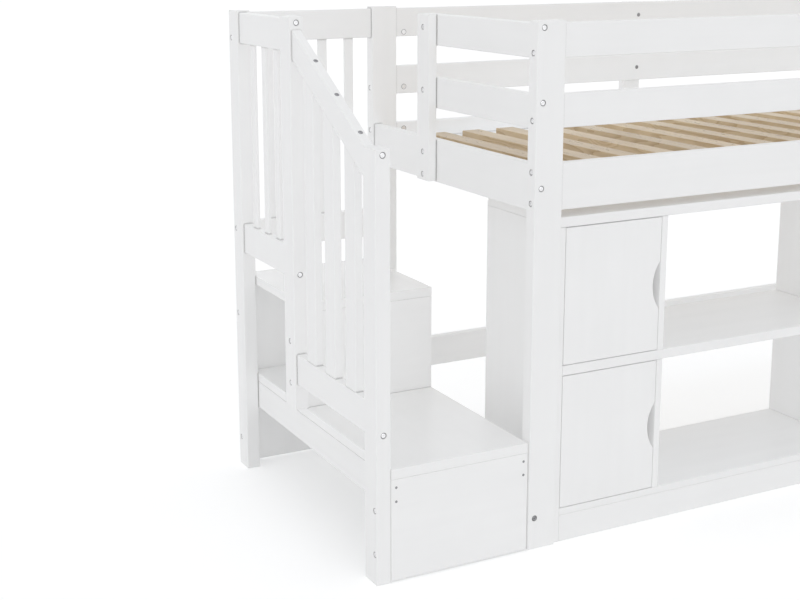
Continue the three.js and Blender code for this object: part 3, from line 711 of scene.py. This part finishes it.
def railing_bolts():
    """Spots of the bolts that hold the stair's railing and the panels of its flight."""
    front, centre, back = (box(f"stair_post_{place}") for place in ("front", "middle", "back"))
    upper, landing = box("stair_side_rail_upper"), box("stair_side_rail_lower")
    low = box("stair_low_rail")
    lower_tread, upper_tread = box("stair_tread_lower"), box("stair_tread_upper")
    lower_riser, upper_riser = box("stair_riser_lower"), box("stair_riser_upper")
    back_rail, panel = box("stair_back_rail_upper"), box("stair_back_panel")
    rail_x = middle(low, "x")
    landing_top = landing[0].z + low[1].z - low[0].z
    spots = []
    for z in (front[1].z - HANDRAIL_LOW_DROP - TOP_BOLT_DROP, low[0].z + LOW_BOLT_RISE):
        spots.append(sunk(rail_x, front[0].y, z, FRONT))
    for z in (lower_tread[0].z - PANEL_BOLT_RISE, lower_riser[0].z + PANEL_BOLT_RISE):
        spots.append(sunk(front[0].x, middle(lower_riser, "y"), z, LEFT))
    for z in (upper[1].z - TOP_BOLT_DROP, landing[0].z + LOW_BOLT_RISE):
        spots.append(sunk(rail_x, centre[0].y, z, FRONT))
        spots.append(sunk(rail_x, back[1].y, z, BACK))
    for z in (centre[1].z - 2 * HANDRAIL_HIGH_DROP, low[0].z + GUARD_BOLT_RISE):
        spots.append(sunk(rail_x, centre[1].y, z, BACK))
    for z in (upper_tread[0].z - PANEL_BOLT_RISE, lower_tread[1].z + PANEL_BOLT_RISE):
        spots.append(sunk(centre[0].x, middle(upper_riser, "y"), z, LEFT))
    rail_levels = (upper[0].z + LOW_BOLT_RISE, landing_top - GUARD_BOLT_DROP)
    panel_levels = (upper_tread[0].z - PANEL_BOLT_DROP, panel[0].z + PANEL_BOLT_RISE)
    for z in rail_levels + panel_levels:
        spots.append(sunk(back[0].x, middle(back_rail, "y"), z, LEFT))
    return spots


def entrance_bolts():
    """Spots of the bolts that hold the entrance batten to the rails of the bed's end."""
    batten, side = box("entrance_batten"), box("end_rail_left")
    guards = [box(f"end_guard_left_{level}")[1].z - BATTEN_BOLT_DROP for level in ("upper", "lower")]
    levels = (*guards, side[1].z - BATTEN_BOLT_DROP, side[0].z + GUARD_BOLT_RISE)
    return [sunk(batten[0].x, middle(batten, "y"), z, LEFT) for z in levels]


def stair_bolts():
    """Bolt heads in the counterbores of the stair's posts and of the entrance batten."""
    bolts("stair_post_bolts", railing_bolts() + entrance_bolts())


def riser_screws():
    """Screws through the lower riser into the bearers."""
    low, high = box("stair_riser_lower")
    spots = []
    for x in (low.x + RISER_SCREW_LEFT, high.x - RISER_SCREW_RIGHT):
        for drop in RISER_SCREW_DROPS:
            spots.append((Vector((x, low.y, high.z - drop)), FRONT))
    fittings("riser_screws", SCREW_HEAD, spots, "rim_steel")


def handrail_bolts():
    """Bolts through the handrail into its spindles, square to its slope."""
    front, centre = box("stair_post_front"), box("stair_post_middle")
    foot = Vector((0, front[1].y, front[1].z - HANDRAIL_LOW_DROP))
    head = Vector((0, centre[0].y, centre[1].z - HANDRAIL_HIGH_DROP))
    along = (head - foot).normalized()
    out = Vector((0, -along.z, along.y))
    spots = []
    for index, shift in enumerate(HANDRAIL_BOLT_SHIFTS, 1):
        spindle = box(f"stair_spindle_{index}")
        y = middle(spindle, "y") + out.y * HANDRAIL_DEPTH
        z = foot.z + (y - foot.y) * along.z / along.y
        spots.append((Vector((middle(spindle, "x"), y, z)) + along * shift, out))
    fittings("handrail_bolts", LOW_CAP, spots, "rim_steel")


def batten_bolts():
    """Bolts through the guard rails into the battens halfway along the bed."""
    spots = []
    for row, inside, out in (("front", 1, BACK), ("back", 0, FRONT)):
        x = middle(box(f"guard_batten_{row}"), "x")
        for level in ("upper", "lower"):
            rail = box(f"guard_rail_{row}_{level}")
            spots.append((Vector((x, rail[inside].y, middle(rail, "z"))), out))
    fittings("batten_bolts", LOW_CAP, spots, "rim_steel")


def hinge_fittings():
    """Screws of the hinge plates on the cupboard's side, and cups and screws on each door."""
    plate_screws = []
    for place in ("upper", "lower"):
        door = box(f"door_{place}")
        cups, cup_screws = [], []
        for end in ("bottom", "top"):
            hinge = box(f"hinge_{place}_door_{end}")
            level = middle(hinge, "z")
            cup = Vector((door[0].x + CUP_EDGE_DISTANCE, door[1].y, level))
            plate = Vector((hinge[0].x + PLATE_THICKNESS, hinge[0].y + PLATE_SCREW_SETBACK, level))
            cups.append((cup, BACK))
            for side in (-1, 1):
                plate_screws.append((plate + UP * (side * PLATE_SCREW_RISE), RIGHT))
                cup_screws.append((cup + UP * (side * CUP_SCREW_RISE), BACK))
        fittings(f"hinge_cups_{place}", HINGE_CUP, cups, body=f"{place}_door")
        fittings(f"hinge_cup_screws_{place}", SCREW_HEAD, cup_screws, body=f"{place}_door")
    fittings("hinge_plate_screws", SCREW_HEAD, plate_screws)


def board(name, low, high, radius, finish):
    """A board with all its edges rounded."""

    def maker(bm):
        made = bmesh.ops.create_cube(bm, size=1.0)
        matrix = Matrix.Translation((low + high) / 2) @ Matrix.Diagonal((*(high - low), 1.0))
        bmesh.ops.transform(bm, matrix=matrix, verts=made["verts"])
        edges = list({edge for vert in made["verts"] for edge in vert.link_edges})
        bmesh.ops.bevel(bm, geom=edges, offset=radius, affect="EDGES", **ROUNDED)

    return piece(name, maker, finish)


def slats():
    """Pine slats on two white ledgers, in place of the solid that stands for them all."""
    low, high = box("slat_base")
    inner_front = box("side_rail_front")[1].y
    inner_back = box("side_rail_back")[0].y
    inner_right = box("end_rail_right")[0].x
    slat_bottom = high.z - SLAT_THICKNESS
    left = box("end_rail_left")[1].x + FIRST_SLAT_GAP
    index = 0
    while left + SLAT_WIDTH < inner_right:
        index += 1
        corner = Vector((left, inner_front + SLAT_FRONT_GAP, slat_bottom))
        opposite = Vector((left + SLAT_WIDTH, inner_back - SLAT_BACK_GAP, high.z))
        made = board(f"slat_{index:02d}", corner, opposite, SLAT_EDGE_RADIUS, "pine")
        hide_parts("slat_base")
        left += SLAT_PITCH
    ledger_left = box("bed_post_front_left")[1].x + LEDGER_END_GAP
    ledger_right = box("bed_post_front_right")[0].x - LEDGER_END_GAP
    for row, y in (("front", inner_front), ("back", inner_back - LEDGER_WIDTHS["back"])):
        corner = Vector((ledger_left, y, low.z))
        opposite = Vector((ledger_right, y + LEDGER_WIDTHS[row], slat_bottom))
        name = f"slat_ledger_{row}"
        board(name, corner, opposite, LEDGER_EDGE_RADIUS, "panel_x")


def make_camera():
    """Camera at the photograph's place and angle."""
    data = bpy.data.cameras.new("camera")
    data.sensor_width = SENSOR_WIDTH
    data.lens = FOCAL_PIXELS * SENSOR_WIDTH / IMAGE_SIZE[0]
    data.shift_x = (IMAGE_SIZE[0] / 2 - PRINCIPAL_POINT[0]) / IMAGE_SIZE[0]
    data.shift_y = (PRINCIPAL_POINT[1] - IMAGE_SIZE[1] / 2) / IMAGE_SIZE[0]
    camera = bpy.data.objects.new("camera", data)
    turn = Matrix.Rotation(-math.radians(CAMERA_YAW), 4, "Z")
    tilt = Matrix.Rotation(math.radians(90 - CAMERA_PITCH), 4, "X")
    roll = Matrix.Rotation(math.radians(CAMERA_ROLL), 4, "Z")
    camera.matrix_world = Matrix.Translation(CAMERA_PLACE) @ turn @ tilt @ roll
    bpy.context.scene.collection.objects.link(camera)
    bpy.context.scene.camera = camera


def make_world():
    """An even white surround: white to the eye and in reflections, a little softer as light."""
    world = bpy.data.worlds.new("surround")
    world.use_nodes = True
    world.node_tree.nodes.clear()
    tree = Tree(world.node_tree)
    strength = tree.ranged(tree.seen(), WHOLE, (WORLD_STRENGTH, BACKGROUND_STRENGTH))
    sockets = {"Color": (*WORLD_COLOUR, 1.0), "Strength": strength}
    background = tree.add("ShaderNodeBackground", sockets)
    tree.add("ShaderNodeOutputWorld", {"Surface": background.outputs["Background"]})
    bpy.context.scene.world = world


def place_lamp(data, colour, toward, place=(0.0, 0.0, 0.0)):
    """A lamp without shadow, in its place and turned towards a direction."""
    data.color = colour
    data.use_shadow = False
    lamp = bpy.data.objects.new(data.name, data)
    lamp.location = place
    lamp.rotation_euler = Vector(toward).to_track_quat("-Z", "Y").to_euler()
    bpy.context.scene.collection.objects.link(lamp)
    return lamp


def make_fills():
    """Broad fill lamps without shadows, which keep the recesses as bright as the photograph's."""
    for name, facts in FILLS.items():
        data = bpy.data.lights.new(name, "SUN")
        data.angle = math.radians(SOFT_SUN_ANGLE)
        data.energy = facts["strength"]
        place_lamp(data, facts["colour"], facts["toward"])


def make_bed_lamp():
    """A weak cool strip in the bed, against the wood's warm light on the back rails."""
    data = bpy.data.lights.new("bed_strip", "AREA")
    data.shape = "RECTANGLE"
    data.size = STRIP_LENGTH
    data.size_y = STRIP_HEIGHT
    data.energy = STRIP_POWER
    lamp = place_lamp(data, STRIP_COLOUR, BACK, STRIP_PLACE)
    lamp.visible_camera = False
    lamp.visible_glossy = False


def make_floor():
    """A pale floor that keeps the object's soft shadow."""
    tree = Finish("pale_floor")
    cloud = tree.noise(tree.place(), FLOOR_CLOUD_SCALE, detail=3.0)
    pale = (FLOOR_COLOUR,) * 3
    paler = (FLOOR_COLOUR * FLOOR_CLOUD_GAIN,) * 3
    glow = tree.maths("MULTIPLY", tree.seen(), FLOOR_LIFT)
    tree.shade(Base_Color=tree.mixed(cloud, pale, paler), Roughness=FLOOR_ROUGHNESS)
    tree.shade(Emission_Color=(1.0, 1.0, 1.0, 1.0), Emission_Strength=glow)
    bm = bmesh.new()
    bmesh.ops.create_grid(bm, x_segments=FLOOR_CELLS, y_segments=FLOOR_CELLS, size=FLOOR_SIZE / 2)
    mesh = bpy.data.meshes.new("floor")
    bm.to_mesh(mesh)
    bm.free()
    mesh.materials.append(tree.material)
    floor = bpy.data.objects.new("floor", mesh)
    bpy.context.scene.collection.objects.link(floor)


make_camera()
make_world()
make_fills()
make_bed_lamp()
make_floor()
dress_nodes()
slats()
bed_bolts()
stair_bolts()
riser_screws()
handrail_bolts()
batten_bolts()
hinge_fittings()

bpy.context.scene.view_settings.view_transform = "Standard"
